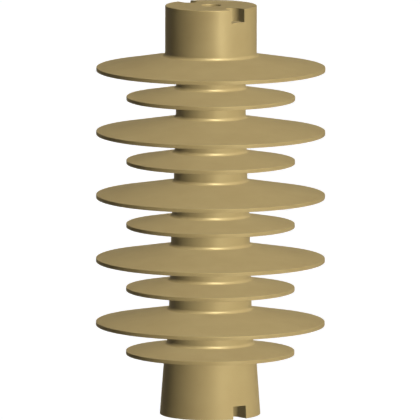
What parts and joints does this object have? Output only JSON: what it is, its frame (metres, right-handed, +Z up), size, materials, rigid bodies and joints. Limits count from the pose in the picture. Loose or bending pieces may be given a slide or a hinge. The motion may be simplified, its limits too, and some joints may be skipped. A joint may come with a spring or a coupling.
{
  "type": "support insulator",
  "caption": "Outdoor post insulator of cast resin with alternating large and small sheds, notched ends and a threaded bush in each end.",
  "frame": {"origin": "centre of the foot's underside, which is the plane that the insulator stands on", "axes": "+Z up along the post, from foot to head; +Y along the diameter that the open notches lie on"},
  "size_m": [0.2474, 0.2474, 0.445],
  "materials": {
    "cast_resin": "satin cast surface, khaki brown",
    "bush_steel": "turned"
  },
  "bodies": {
    "root": {"insulator_body": "cast_resin", "top_insert": "bush_steel", "bottom_insert": "bush_steel"}
  },
  "joints": []
}
